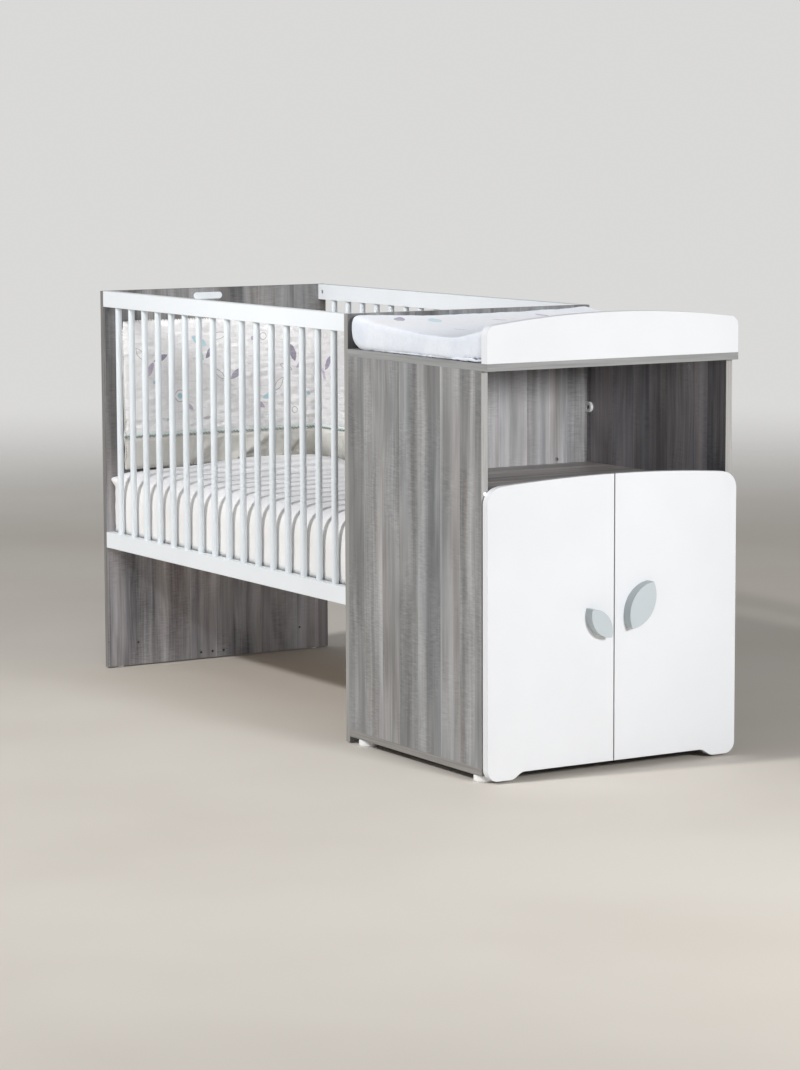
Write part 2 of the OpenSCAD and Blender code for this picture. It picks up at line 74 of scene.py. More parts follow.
# ---------------------------------------------------------------- node helper
class Mat:
    """A small writer of node trees. Values are sockets or numbers."""

    def __init__(self, name, rough=0.5, **shader):
        self.m = bpy.data.materials.new(name)
        self.m.use_nodes = True
        self.t = self.m.node_tree
        self.t.nodes.clear()
        self.out = self.t.nodes.new("ShaderNodeOutputMaterial")
        self.b = self.t.nodes.new("ShaderNodeBsdfPrincipled")
        self.t.links.new(self.b.outputs[0], self.out.inputs[0])
        self.b.inputs["Roughness"].default_value = rough
        for k, v in shader.items():
            self.b.inputs[k.replace("_", " ")].default_value = v
        self.co = self.node("ShaderNodeTexCoord")
        s = self.node("ShaderNodeSeparateXYZ")
        self.link(self.co.outputs["Object"], s.inputs[0])
        self.x, self.y, self.z = s.outputs
        self.bumps = []

    def node(self, kind, **kw):
        n = self.t.nodes.new(kind)
        for k, v in kw.items():
            setattr(n, k, v)
        return n

    def link(self, a, b):
        self.t.links.new(a, b)

    def put(self, v, sock):
        if hasattr(v, "is_output"):
            self.link(v, sock)
        else:
            sock.default_value = v

    def math(self, op, *vals, clamp=False):
        n = self.node("ShaderNodeMath", operation=op, use_clamp=clamp)
        for v, s in zip(vals, n.inputs):
            self.put(v, s)
        return n.outputs[0]

    def add(self, *v):
        r = v[0]
        for w in v[1:]:
            r = self.math("ADD", r, w)
        return r

    def mul(self, *v):
        r = v[0]
        for w in v[1:]:
            r = self.math("MULTIPLY", r, w)
        return r

    def sub(self, a, b):
        return self.math("SUBTRACT", a, b)

    def vec(self, a, b, c=0.0):
        n = self.node("ShaderNodeCombineXYZ")
        for v, s in zip((a, b, c), n.inputs):
            self.put(v, s)
        return n.outputs[0]

    def noise(self, v, scale=1.0, detail=2.0, rough=0.5, dist=0.0):
        n = self.node("ShaderNodeTexNoise")
        self.link(v, n.inputs["Vector"])
        n.inputs["Scale"].default_value = scale
        n.inputs["Detail"].default_value = detail
        n.inputs["Roughness"].default_value = rough
        n.inputs["Distortion"].default_value = dist
        return n.outputs["Fac"]

    def span(self, v, lo, hi, a=0.0, b=1.0, smooth=True):
        n = self.node("ShaderNodeMapRange", interpolation_type="SMOOTHSTEP" if smooth else "LINEAR")
        self.put(v, n.inputs["Value"])
        for s, k in zip(("From Min", "From Max", "To Min", "To Max"), (lo, hi, a, b)):
            n.inputs[s].default_value = k
        return n.outputs["Result"]

    def ramp(self, v, stops):
        n = self.node("ShaderNodeValToRGB")
        self.link(v, n.inputs[0])
        e = n.color_ramp.elements
        while len(e) < len(stops):
            e.new(0.5)
        for k, (pos, col) in zip(e, stops):
            k.position, k.color = pos, col
        return n.outputs[0]

    def mix(self, f, a, b, mode="MIX"):
        n = self.node("ShaderNodeMix", data_type="RGBA", blend_type=mode)
        self.put(f, n.inputs[0])
        self.put(a, n.inputs[6])
        self.put(b, n.inputs[7])
        return n.outputs[2]

    def bump(self, h, dist, strength=1.0):
        self.bumps.append((h, dist, strength))

    def done(self, color, rough=None, bevel=0.0):
        self.put(color, self.b.inputs["Base Color"])
        if rough is not None:
            self.put(rough, self.b.inputs["Roughness"])
        last = None
        if bevel:
            n = self.node("ShaderNodeBevel", samples=4)
            n.inputs["Radius"].default_value = bevel
            last = n.outputs[0]
        for h, dist, strength in self.bumps:
            n = self.node("ShaderNodeBump")
            n.inputs["Strength"].default_value = strength
            n.inputs["Distance"].default_value = dist
            self.put(h, n.inputs["Height"])
            if last:
                self.link(last, n.inputs["Normal"])
            last = n.outputs[0]
        if last:
            self.link(last, self.b.inputs["Normal"])
        return self.m


# ---------------------------------------------------------------- materials
def laminate(name, across, along, thick, seed, tone=1.0, rim=("#868380", "#a3a09c"), con=1.0, cast="#ffffff", high=1.0):
    """Printed wood on board: soft wide bands within planks, smoky patches, weak streaks, cross flecks and pores;
    plainer edge bands. high paints shade on a tall board's upper part, darkening it against the light that falls there.
    """
    m = Mat(name, 0.42)
    u, v = getattr(m, across), getattr(m, along)
    cell = m.node("ShaderNodeTexVoronoi", voronoi_dimensions="1D")
    m.put(m.add(u, seed * 1.37), cell.inputs["W"])
    cell.inputs["Scale"].default_value = 13.0
    rnd = m.node("ShaderNodeSeparateColor")
    m.link(cell.outputs["Color"], rnd.inputs[0])
    r1, r2, r3 = rnd.outputs
    edge = m.node("ShaderNodeTexVoronoi", voronoi_dimensions="1D", feature="DISTANCE_TO_EDGE")
    m.put(m.add(u, seed * 1.37), edge.inputs["W"])
    edge.inputs["Scale"].default_value = 13.0
    off = m.add(m.mul(r2, 37.0), seed)
    wob = m.noise(m.vec(m.mul(u, 7.0), m.mul(v, 2.2), off), 1.0, 2.0)
    uw = m.add(u, m.mul(m.sub(wob, 0.5), 0.022))
    band = m.noise(m.vec(m.mul(uw, 27.0), m.mul(v, 0.7), off), 1.0, 1.0, 0.5)
    smoke = m.noise(m.vec(m.mul(uw, 17.0), m.mul(v, 3.4), m.add(off, 9.0)), 1.0, 2.0, 0.55, 0.4)
    mid = m.noise(m.vec(m.mul(uw, 95.0), m.mul(v, 2.6), off), 1.0, 3.0, 0.55)
    fine = m.noise(m.vec(m.mul(uw, 430.0), m.mul(v, 8.0), off), 1.0, 3.0, 0.6)
    patch = m.span(m.noise(m.vec(m.mul(u, 11.0), m.mul(v, 5.0), m.add(off, 3.0)), 1.0, 1.0), 0.42, 0.60)
    fleck = m.noise(m.vec(m.mul(u, 48.0), m.mul(v, 290.0), off), 1.0, 2.0, 0.5, 0.5)
    rings = m.math("SINE", m.mul(m.add(uw, m.mul(m.noise(m.vec(m.mul(u, 20.0), m.mul(v, 3.6), off), 1.0, 2.0), 0.05)), 560.0))
    pore = m.span(m.noise(m.vec(m.mul(u, 900.0), m.mul(v, 34.0), 1.0), 1.0, 2.0), 0.60, 0.72)
    val = m.add(m.mul(m.sub(r1, 0.5), 0.15), m.mul(m.sub(band, 0.5), 0.56), m.mul(m.sub(smoke, 0.5), 0.46), m.mul(m.sub(mid, 0.5), 0.30), m.mul(m.sub(fine, 0.5), 0.17),
                m.mul(rings, m.span(r3, 0.4, 0.8, 0.0, 0.022)), m.mul(m.sub(fleck, 0.5), patch, 0.30 / con), m.mul(pore, -0.07), m.mul(m.span(edge.outputs["Distance"], 0.0, 0.028, 1.0, 0.0), m.span(r1, 0.35, 0.5, -0.03, 0.13)))
    val = m.add(0.5, m.mul(val, con))
    col = m.ramp(val, [(0.16, lin("#565658", tone)), (0.36, lin("#797979", tone)), (0.52, lin("#929292", tone)), (0.68, lin("#a8a8a8", tone)), (0.88, lin("#c0c0c1", tone))])
    hue = m.noise(m.vec(m.mul(uw, 19.0), m.mul(v, 1.3), m.add(off, 5.0)), 1.0, 2.0)
    col = m.mix(m.span(hue, 0.48, 0.66, 0.0, 0.6), col, m.mix(1.0, col, lin("#e9eef3"), "MULTIPLY"))
    col = m.mix(m.span(hue, 0.50, 0.34, 0.0, 0.6), col, m.mix(1.0, col, lin("#f6eeea"), "MULTIPLY"))
    if cast != "#ffffff":
        col = m.mix(1.0, col, lin(cast), "MULTIPLY")
    # painted shade: high darkens a tall board's upper part, offsetting the stronger light on it
    if high != 1.0:
        col = m.mix(m.span(m.z, 0.28, 0.60), col, m.mix(1.0, col, lin("#fffef5", high), "MULTIPLY"))
    # the edge band's streaks run along each edge
    nrm = m.node("ShaderNodeSeparateXYZ")
    m.link(m.co.outputs["Normal"], nrm.inputs[0])
    side = m.span(m.math("ABSOLUTE", nrm.outputs["xyz".index(thick)]), 0.35, 0.65, 1.0, 0.0)
    p, q = [k for k in "xyz" if k != thick]
    both = []
    for run in (q, p):
        both.append(m.noise(m.vec(*[m.mul(getattr(m, k), 4.5 if k == run else 260.0) for k in "xyz"]), 1.0, 4.0, 0.6))
    on_p = m.span(m.math("ABSOLUTE", nrm.outputs["xyz".index(p)]), 0.35, 0.65)
    grain = m.add(m.mul(both[0], on_p), m.mul(both[1], m.sub(1.0, on_p)))
    col = m.mix(side, col, m.ramp(grain, [(0.32, lin(rim[0])), (0.68, lin(rim[1]))]))
    m.bump(m.add(m.mul(fine, 0.6), m.mul(pore, -0.8)), 0.0002, 0.35)
    return m.done(col, m.span(mid, 0.2, 0.8, 0.38, 0.50), bevel=0.0009)


def lacquer(name, hexc, rough=0.34, bevel=0.0016, rim=None):
    """Sprayed lacquer: even colour, faint cloudiness, fine orange peel; rim is a painted shade on the sides that don't
    face along x.
    """
    m = Mat(name, rough, Coat_Weight=0.12, Coat_Roughness=0.25)
    cloud = m.noise(m.co.outputs["Object"], 5.0, 3.0, 0.5)
    speck = m.noise(m.co.outputs["Object"], 420.0, 2.0, 0.6)
    col = m.mix(m.span(cloud, 0.3, 0.7, 0.0, 1.0), lin(hexc, 0.975), lin(hexc))
    # painted shade: the sides that don't face along x take the darker rim colour
    if rim:
        nrm = m.node("ShaderNodeSeparateXYZ")
        m.link(m.co.outputs["Normal"], nrm.inputs[0])
        col = m.mix(m.span(m.math("ABSOLUTE", nrm.outputs[0]), 0.45, 0.75, 1.0, 0.0), col, lin(rim))
    col = m.mix(m.span(speck, 0.66, 0.8, 0.0, 0.05), col, lin("#8c8f90"))
    m.bump(m.noise(m.co.outputs["Object"], 260.0, 2.0, 0.5), 0.00006, 0.30)
    return m.done(col, m.span(cloud, 0.3, 0.7, rough - 0.03, rough + 0.05), bevel=bevel)


def plastic(name, hexc, rough=0.45):
    m = Mat(name, rough)
    grain = m.noise(m.co.outputs["Object"], 1500.0, 2.0, 0.6)
    cloud = m.noise(m.co.outputs["Object"], 30.0, 3.0, 0.5)
    m.bump(grain, 0.00005, 0.4)
    return m.done(m.mix(m.span(cloud, 0.3, 0.7), lin(hexc, 0.95), lin(hexc)), m.span(grain, 0.3, 0.7, rough - 0.05, rough + 0.08), bevel=0.0006)


def steel(name, dark="#b4b7b8", light="#d3d5d6"):
    m = Mat(name, 0.32, Metallic=1.0)
    brushed = m.noise(m.vec(m.mul(m.x, 60.0), m.mul(m.y, 900.0), m.mul(m.z, 900.0)), 1.0, 4.0, 0.6)
    cloud = m.noise(m.co.outputs["Object"], 90.0, 3.0, 0.6)
    m.bump(brushed, 0.00003, 0.4)
    return m.done(m.mix(m.span(cloud, 0.3, 0.7), lin(dark), lin(light)), m.span(brushed, 0.25, 0.75, 0.24, 0.44))


def pine(name, along):
    """Planed softwood with rings along one axis and a few knots."""
    m = Mat(name, 0.6)
    k = [230.0, 230.0, 230.0]
    k["xyz".index(along)] = 6.0
    v = m.vec(m.mul(m.x, k[0]), m.mul(m.y, k[1]), m.mul(m.z, k[2]))
    grain, fine = m.noise(v, 0.35, 4.0, 0.6, 0.4), m.noise(v, 2.4, 3.0, 0.6)
    knot = m.span(m.noise(m.co.outputs["Object"], 9.0, 1.0), 0.74, 0.80)
    col = m.ramp(m.add(m.mul(grain, 0.75), m.mul(fine, 0.25)), [(0.3, lin("#c2a582")), (0.5, lin("#dac3a3")), (0.72, lin("#e8d8bf"))])
    m.bump(fine, 0.00015, 0.4)
    return m.done(m.mix(m.mul(knot, 0.7), col, lin("#7d5632")), m.span(fine, 0.2, 0.8, 0.5, 0.7), bevel=0.001)


def weave(m, u, v, pitch, depth, slub=0.4):
    """Crossed threads of a plain weave with slubs. Returns the height."""
    k = 2 * math.pi / pitch
    a = m.math("SINE", m.mul(u, k))
    b = m.math("SINE", m.mul(v, k))
    su = m.noise(m.vec(m.mul(u, 0.9 / pitch), m.mul(v, 0.03 / pitch), 3.0), 1.0, 2.0)
    sv = m.noise(m.vec(m.mul(u, 0.03 / pitch), m.mul(v, 0.9 / pitch), 7.0), 1.0, 2.0)
    h = m.add(m.mul(m.mul(a, b), 0.25), m.mul(m.add(su, sv), slub))
    m.bump(h, depth, 0.6)
    return m.mul(m.add(su, sv), 0.5)


def cotton(name, light, dark, u="x", v="y", pitch=0.0011, rough=0.85):
    m = Mat(name, rough, Sheen_Weight=0.25, Sheen_Roughness=0.5)
    h = weave(m, getattr(m, u), getattr(m, v), pitch, 0.0003)
    cloud = m.noise(m.co.outputs["Object"], 7.0, 4.0, 0.55)
    crush = m.noise(m.co.outputs["Object"], 38.0, 4.0, 0.6, 0.8)
    m.bump(crush, 0.0016, 0.35)
    col = m.mix(m.span(m.add(m.mul(cloud, 0.6), m.mul(h, 0.4)), 0.36, 0.64), dark, light)
    return m.done(col, m.span(h, 0.3, 0.7, rough - 0.05, min(1.0, rough + 0.08)))


def cord(name, light, dark):
    """Twisted cotton cord: slanted strands with painted shade in the gaps between them."""
    m = Mat(name, 0.9, Sheen_Weight=0.2, Sheen_Roughness=0.5)
    strand = m.math("SINE", m.mul(m.add(m.z, m.mul(m.add(m.x, m.y), 1.0)), 2 * math.pi / 0.0075))
    fuzz = m.noise(m.co.outputs["Object"], 900.0, 3.0, 0.6)
    m.bump(strand, 0.0008, 0.8)
    m.bump(fuzz, 0.0002, 0.5)
    # painted shade: darker where the strands' bump is low, in the gaps
    col = m.mix(m.span(m.add(strand, m.mul(fuzz, 0.5)), -0.75, 0.1), dark, light)
    return m.done(col, m.span(fuzz, 0.3, 0.7, 0.85, 0.95))


def mattress_mat():
    """Cotton cover: cream border, paler lilac-grey top with faint stripes across it."""
    m = Mat("mattress_cover", 0.9, Sheen_Weight=0.25, Sheen_Roughness=0.5)
    h = weave(m, m.add(m.x, m.mul(m.z, 0.3)), m.add(m.y, m.z), 0.0012, 0.0003)
    cloud = m.noise(m.co.outputs["Object"], 5.0, 4.0, 0.55)
    nz = m.node("ShaderNodeSeparateXYZ")
    m.link(m.co.outputs["Normal"], nz.inputs[0])
    top = m.span(nz.outputs[2], 0.35, 0.92)
    side = m.mix(m.span(cloud, 0.35, 0.65), lin("#e7e5e3"), lin("#efeeec"))
    lid = m.mix(m.span(cloud, 0.35, 0.65), lin("#e1e0e2"), lin("#ecebed"))
    line = m.span(m.math("ABSOLUTE", m.math("SINE", m.mul(m.x, math.pi / 0.031))), 0.10, 0.0, 0.0, 0.10)
    col = m.mix(top, side, m.mix(line, lid, lin("#a9a6b4")))
    col = m.mix(m.mul(m.span(h, 0.5, 0.7), 0.12), col, lin("#bcb6ae"))
    m.bump(m.noise(m.vec(m.mul(m.x, 22.0), m.mul(m.y, 9.0), m.mul(m.z, 20.0)), 1.0, 3.0, 0.6, 0.6), 0.003, 0.25)
    return m.done(col, m.span(h, 0.3, 0.7, 0.84, 0.96))


def terry_mat():
    m = Mat("terry_cover", 0.95, Sheen_Weight=0.45, Sheen_Roughness=0.4)
    loop = m.node("ShaderNodeTexVoronoi")
    m.link(m.co.outputs["Object"], loop.inputs["Vector"])
    loop.inputs["Scale"].default_value = 620.0
    tuft = m.noise(m.co.outputs["Object"], 210.0, 4.0, 0.7)
    cloud = m.noise(m.co.outputs["Object"], 11.0, 4.0, 0.6)
    m.bump(m.add(m.mul(loop.outputs["Distance"], 0.7), m.mul(tuft, 1.0)), 0.0009, 0.6)
    m.bump(cloud, 0.004, 0.25)
    col = m.mix(m.span(cloud, 0.3, 0.7), lin("#d9dee7"), lin("#e6eaf0"))
    nz = m.node("ShaderNodeSeparateXYZ")
    m.link(m.co.outputs["Normal"], nz.inputs[0])
    col = m.mix(m.mul(m.span(nz.outputs[2], 0.35, 0.8), 0.8), col, lin("#ecf0f8"))
    # painted shade: a warm grey tint over the upward faces of the dip between the raised ends
    left, right = P(1275, 0, 0).x, P(1470, 0, 0).x
    col = m.mix(m.mul(m.span(nz.outputs[2], 0.5, 0.9), m.span(m.x, left, left + 0.06), m.span(m.x, right, right - 0.14), m.span(cloud, 0.3, 0.6, 0.1, 0.5)), col, lin("#e9e3dd"))
    mottle = m.noise(m.co.outputs["Object"], 75.0, 4.0, 0.65)
    col = m.mix(m.span(mottle, 0.50, 0.32, 0.0, 0.22), col, lin("#cdd5e4"))
    # painted shade: darker where the pile's bump is low, in its hollows
    col = m.mix(m.span(tuft, 0.55, 0.40, 0.0, 0.10), col, lin("#c4cad8"))
    u, v = m.x, m.y
    for (cx, cy, a, b, rot, hexc) in ((1308, 92, 34, 13, 2.5, "#5f5280"), (1330, 172, 38, 16, 2.75, "#a5cfd8"), (1352, 330, 20, 8, 1.2, "#b7a6c6"), (1318, 470, 22, 8, 0.4, "#8f80aa"),
                                      (1500, 520, 22, 8, 0.2, "#b9dbe0"), (1610, 600, 20, 8, -0.8, "#a999bd"), (1430, 300, 18, 7, 0.9, "#c2dfe3"),
                                      (1585, 330, 22, 8, -0.3, "#8f80aa"), (1690, 470, 17, 7, 0.7, "#b8d9df"), (1470, 150, 18, 7, 0.5, "#cfc6da"), (1640, 150, 18, 7, -1.0, "#cfe3e6")):
        up = m.span(m.z, 0.915, 0.93)
        col = m.mix(m.mul(leaf_mask(m, m.vec(u, v), P(cx, cy, 0), a / 1000, b / 1000, rot), 0.78, up), col, lin(hexc))
    return m.done(col, m.span(tuft, 0.3, 0.7, 0.9, 1.0))


def placed(m, vec, c, sx, sy, rot=0.0):
    n = m.node("ShaderNodeMapping", vector_type="TEXTURE")
    m.link(vec, n.inputs["Vector"])
    n.inputs["Location"].default_value = (c[0], c[1], 0)
    n.inputs["Rotation"].default_value = (0, 0, rot)
    n.inputs["Scale"].default_value = (sx, sy, 1)
    return n.outputs[0]


def length(m, v, off=(0, 0, 0)):
    a = m.node("ShaderNodeVectorMath", operation="ADD")
    m.link(v, a.inputs[0])
    a.inputs[1].default_value = off
    n = m.node("ShaderNodeVectorMath", operation="LENGTH")
    m.link(a.outputs[0], n.inputs[0])
    return n.outputs["Value"]


def leaf_dist(m, vec, c, a, b, rot):
    """1 on the outline of a leaf of half length a and half width b."""
    k = (a * a - b * b) / (2 * b)
    r = k + b
    p = placed(m, vec, c, r, r, rot)
    return m.math("MAXIMUM", length(m, p, (0, k / r, 0)), length(m, p, (0, -k / r, 0))), r


def leaf_mask(m, vec, c, a, b, rot):
    d, r = leaf_dist(m, vec, c, a, b, rot)
    return m.span(d, 1.0, 1.0 - 0.0012 / r)


def gauze(name, u, v, motifs, k=1.0):
    """Fine woven gauze with a sparse print of leaves, dots and rings, all drawn by distance."""
    m = Mat(name, 0.9, Sheen_Weight=0.2, Sheen_Roughness=0.5)
    uu, vv = getattr(m, u), getattr(m, v)
    h = weave(m, uu, vv, 0.0016, 0.0004, 0.6)
    cloud = m.noise(m.co.outputs["Object"], 6.0, 4.0, 0.6)
    m.bump(m.noise(m.co.outputs["Object"], 30.0, 4.0, 0.6, 1.0), 0.0035, 0.45)
    crinkle = m.noise(m.vec(m.mul(uu, 24.0), m.mul(m.add(vv, m.mul(uu, 0.1)), 105.0)), 1.0, 4.0, 0.55, 0.9)
    m.bump(crinkle, 0.003, 0.8)
    # k scales the gauze's whites; below 1 it is painted shade
    col = m.mix(m.span(m.add(m.mul(cloud, 0.55), m.mul(h, 0.45)), 0.36, 0.62), lin("#efedec", k), lin("#fcfbfa", k))
    grid = m.math("MAXIMUM", m.span(m.math("SINE", m.mul(uu, 2 * math.pi / 0.0065)), 0.82, 1.0), m.span(m.math("SINE", m.mul(vv, 2 * math.pi / 0.0065)), 0.82, 1.0))
    col = m.mix(m.mul(grid, 0.12), col, lin("#c5c2c4"))
    # painted shade: darker in the troughs of the crinkles
    col = m.mix(m.span(crinkle, 0.44, 0.30, 0.0, 0.30), col, lin("#a9a6a8"))
    vec = m.vec(uu, vv)
    for kind, c, a, b, rot, hexc, al in motifs:
        if kind == "leaf":
            mask = leaf_mask(m, vec, c, a, b, rot)
        elif kind == "line":
            d, r = leaf_dist(m, vec, c, a, b, rot)
            mask = m.span(m.math("ABSOLUTE", m.sub(d, 1.0 - 0.0010 / r)), 0.0011 / r, 0.0005 / r)
        elif kind == "dot":
            mask = m.span(length(m, placed(m, vec, c, a, b, rot)), 1.0, 1.0 - 0.0012 / a)
        else:
            mask = m.span(m.math("ABSOLUTE", m.sub(length(m, placed(m, vec, c, a, b, rot)), 1.0)), 0.0013 / a, 0.0006 / a)
        soft = m.span(h, 0.25, 0.8, 1.0, 0.72)
        col = m.mix(m.mul(mask, soft, al), col, lin(hexc))
    return m.done(col, m.span(h, 0.3, 0.7, 0.84, 0.96))


PURPLE, BLUE, MAUVE, GREY, MINT = "#65567f", "#9fd0da", "#a892b4", "#77757b", "#a9d4cc"


def motif_set(seq, place):
    """Sprigs, dots and rings at (horizontal mm, height mm)."""
    out = []
    for kind, u, z, a, b, rot, c, al in seq:
        out.append((kind, place(u, z), a / 1000, b / 1000, rot, c, al))
    return out


HEAD_PRINT = [
    ("leaf", 118, 770, 24, 9, 1.1, MAUVE, .75), ("leaf", 150, 800, 22, 8, 0.4, PURPLE, .85), ("line", 92, 812, 21, 8, 2.2, GREY, .7), ("dot", 132, 738, 5, 5, 0, BLUE, .9),
    ("ring", 205, 700, 15, 15, 0, GREY, .65), ("dot", 205, 700, 8, 8, 0, BLUE, .85), ("leaf", 232, 672, 17, 6, -0.7, MAUVE, .7),
    ("leaf", 262, 840, 26, 10, -0.5, BLUE, .85), ("leaf", 296, 812, 24, 9, 0.9, PURPLE, .85), ("line", 318, 852, 26, 10, 0.2, GREY, .7), ("leaf", 270, 800, 13, 5, 2.0, MINT, .9),
    ("leaf", 345, 730, 28, 11, 1.5, MAUVE, .7), ("leaf", 372, 752, 24, 9, 0.7, PURPLE, .75), ("line", 322, 752, 22, 8, 2.4, GREY, .7), ("line", 347, 690, 30, 1.6, 1.5, GREY, .7),
    ("dot", 420, 842, 6, 6, 0, MAUVE, .8), ("dot", 438, 822, 4, 4, 0, BLUE, .9), ("ring", 452, 846, 9, 9, 0, GREY, .6),
    ("leaf", 470, 690, 23, 9, 0.3, BLUE, .8), ("leaf", 440, 668, 20, 7, 2.6, MAUVE, .75), ("line", 498, 718, 23, 9, 0.9, GREY, .7), ("leaf", 540, 800, 26, 10, 1.9, PURPLE, .8),
    ("leaf", 566, 770, 20, 8, 0.6, MAUVE, .7), ("line", 520, 762, 20, 8, 2.7, GREY, .7), ("dot", 588, 690, 6, 6, 0, BLUE, .9), ("dot", 70, 690, 5, 5, 0, MAUVE, .8), ("dot", 168, 640, 4, 4, 0, MINT, .9),
    ("dot", 392, 640, 5, 5, 0, MAUVE, .8), ("ring", 545, 648, 8, 8, 0, GREY, .6), ("leaf", 285, 640, 15, 5, 0.1, GREY, .5),
]
SIDE_PRINT = []
for i, x in enumerate(range(95, 1200, 118)):
    s = -1 if i % 2 else 1
    zc = 735 + 38 * s
    SIDE_PRINT += [("leaf", x, zc, 26, 10, 0.9 * s, (PURPLE, BLUE, MAUVE)[i % 3], .8), ("line", x + 30, zc - 22 * s, 25, 9, 0.3 * s + 0.4, GREY, .75),
                   ("leaf", x - 24, zc - 30 * s, 20, 7, 2.1, (MAUVE, MINT, BLUE)[i % 3], .75), ("dot", x + 46, zc + 40 * s, 5, 5, 0, (BLUE, MAUVE, MINT)[i % 3], .9)]

M = {}
# The boards share one laminate; their tones and edge-band tones differ as painted light and shade, each board made
# lighter or darker for how light falls on it, and the head panel's upper part darkened by high.
M["lam_head"] = laminate("laminate_head", "y", "z", "x", 3.1, 1.36, ("#6a6866", "#86837f"), 1.6, "#faf8ff", 0.55)
M["lam_foot"] = laminate("laminate_foot", "y", "z", "x", 8.4, 0.8, ("#8c8a87", "#a3a19e"), 1.2)
M["lam_left"] = laminate("laminate_side_left", "x", "z", "y", 5.2, 1.09, ("#9b9a98", "#b2b1af"))
M["lam_right"] = laminate("laminate_side_right", "x", "z", "y", 11.7, 1.24, ("#9d9b98", "#b5b3b0"), 1.5, "#fcf7fd")
M["lam_back"] = laminate("laminate_back", "y", "z", "x", 15.3, 1.44, con=1.35, cast="#fffdfd")
M["lam_top"] = laminate("laminate_top", "x", "y", "z", 21.9, 1.0, ("#828383", "#9fa09f"))
M["lam_shelf"] = laminate("laminate_shelf", "x", "y", "z", 27.3, 1.85, ("#85827f", "#9c9996"), 1.3, "#fff6f2")
M["lam_base"] = laminate("laminate_base", "x", "y", "z", 31.3, 0.9, ("#7f7d7a", "#989592"))
# The rails, upstand, doors and bars are one white lacquer; the doors' and upstand's white and the bars' white are set
# darker as painted shade, for how light falls on them.
M["white"] = lacquer("white_lacquer", "#eaeef1")
M["white_door"] = lacquer("white_lacquer_doors", "#e7e9ec")
M["white_round"] = lacquer("white_lacquer_bars", "#e5ebef", 0.32, 0.0)
# the handles' sides take a darker rim colour as painted shade
M["handle"] = lacquer("pale_grey_lacquer", "#c1c9cd", 0.36, 0.0016, "#b2bbbe")
M["plastic"] = plastic("white_plastic", "#fafbfb")
M["plate"] = plastic("pale_grey_plastic", "#e6ebee")
M["steel"] = steel("zinc_plated_steel")
M["steel_dark"] = steel("dark_screw_steel", "#4a4d4f", "#6a6d6f")
M["pine_x"], M["pine_y"] = pine("pine_along_x", "x"), pine("pine_along_y", "y")
M["mattress"] = mattress_mat()
M["terry"] = terry_mat()
M["gauze_head"] = gauze("gauze_head", "y", "z", motif_set(HEAD_PRINT, lambda u, z: P(0, u, z).yz))
# painted shade: the side pad's gauze is a darker copy of the head pad's, set for the light falling on it
M["gauze_side"] = gauze("gauze_side", "x", "z", motif_set(SIDE_PRINT, lambda u, z: P(u, 0, z).xz), 0.74)
M["band"] = cotton("bumper_band", lin("#dad8d1"), lin("#c8c5bd"), "y", "z")
M["band_side"] = cotton("bumper_band_side", lin("#d8d6cf"), lin("#c4c1b9"), "x", "z")
M["piping"] = cord("bumper_piping", lin("#f2efe9"), lin("#98928a"))
M["mint"] = cotton("mint_trim", lin("#f1f6f4"), lin("#dfece8"), "y", "z", 0.0007)
M["thread"] = cotton("trim_thread", lin("#7f9b97"), lin("#56706d"), "y", "z", 0.0005)

USE = {"head_panel": "lam_head", "foot_panel": "lam_foot", "cabinet_side_left": "lam_left", "cabinet_side_right": "lam_right", "cabinet_back": "lam_back",
       "cabinet_bottom": "lam_base", "niche_shelf": "lam_shelf", "inner_shelf": "lam_shelf", "top_board": "lam_top",
       "front_top_rail": "white", "front_bottom_rail": "white", "rear_top_rail": "white", "rear_bottom_rail": "white", "front_bars": "white_round", "rear_bars": "white_round",
       "upstand": "white_door", "door_left": "white_door", "door_right": "white_door", "handle_left": "handle", "handle_right": "handle",
       "plain_plate": "plate", "panel_glides": "plastic", "cabinet_glides": "plastic", "corner_connectors": "plastic", "door_pads": "plastic",
       "connector_screws": "steel_dark", "base_side_bearers": "pine_x", "base_end_bearers": "pine_y", "base_slats": "pine_y", "rail_dowels": "pine_x"}
for name, o in NODES.items():
    o.data.materials.clear()
    o.data.materials.append(M[USE.get(name, "steel")])


# ---------------------------------------------------------------- soft pieces
def box_grid(lo, hi, step, radii=None):
    """Closed grid over a box. radii(v) gives an array of the rounding (mm) along x, y and z at each vertex. Returns vertices (mm) and quads."""
    lo, hi = np.array(lo, float), np.array(hi, float)
    n = np.maximum(2, np.round((hi - lo) / step).astype(int))
    ids, verts, faces = {}, [], []

    def vid(i, j, k):
        key = (i, j, k)
        if key not in ids:
            ids[key] = len(verts)
            verts.append(lo + (hi - lo) * np.array(key) / n)
        return ids[key]

    for a in range(3):
        b, c = (a + 1) % 3, (a + 2) % 3
        for s in (0, n[a]):
            for i in range(n[b]):
                for j in range(n[c]):
                    q = []
                    for di, dj in ((0, 0), (1, 0), (1, 1), (0, 1)):
                        key = [0, 0, 0]
                        key[a], key[b], key[c] = s, i + di, j + dj
                        q.append(vid(*key))
                    faces.append(q if s else q[::-1])
    v = np.array(verts)
    rr = np.minimum(radii(v), (hi - lo)[None, :] / 2 - 0.01)
    core = np.clip(v, lo + rr, hi - rr)
    d = v - core
    ln = np.linalg.norm(d / rr, axis=1, keepdims=True)
    # flat faces stay flat: only corners and edges move in
    return np.where(ln > 1e-6, core + d / np.maximum(ln, 1e-6), v), faces


def make_piece(name, verts, faces, mat):
    me = bpy.data.meshes.new(name)
    me.from_pydata([tuple(P(*v)) for v in verts], [], faces)
    me.materials.append(mat)
    me.polygons.foreach_set("use_smooth", [True] * len(me.polygons))
    me.update()
    o = bpy.data.objects.new(name, me)
    scene.collection.objects.link(o)
    return o


def coords(me):
    c = np.empty(len(me.vertices) * 3)
    me.vertices.foreach_get("co", c)
    return c.reshape(-1, 3)


def set_coords(me, c):
    me.vertices.foreach_set("co", c.reshape(-1))
    me.update()


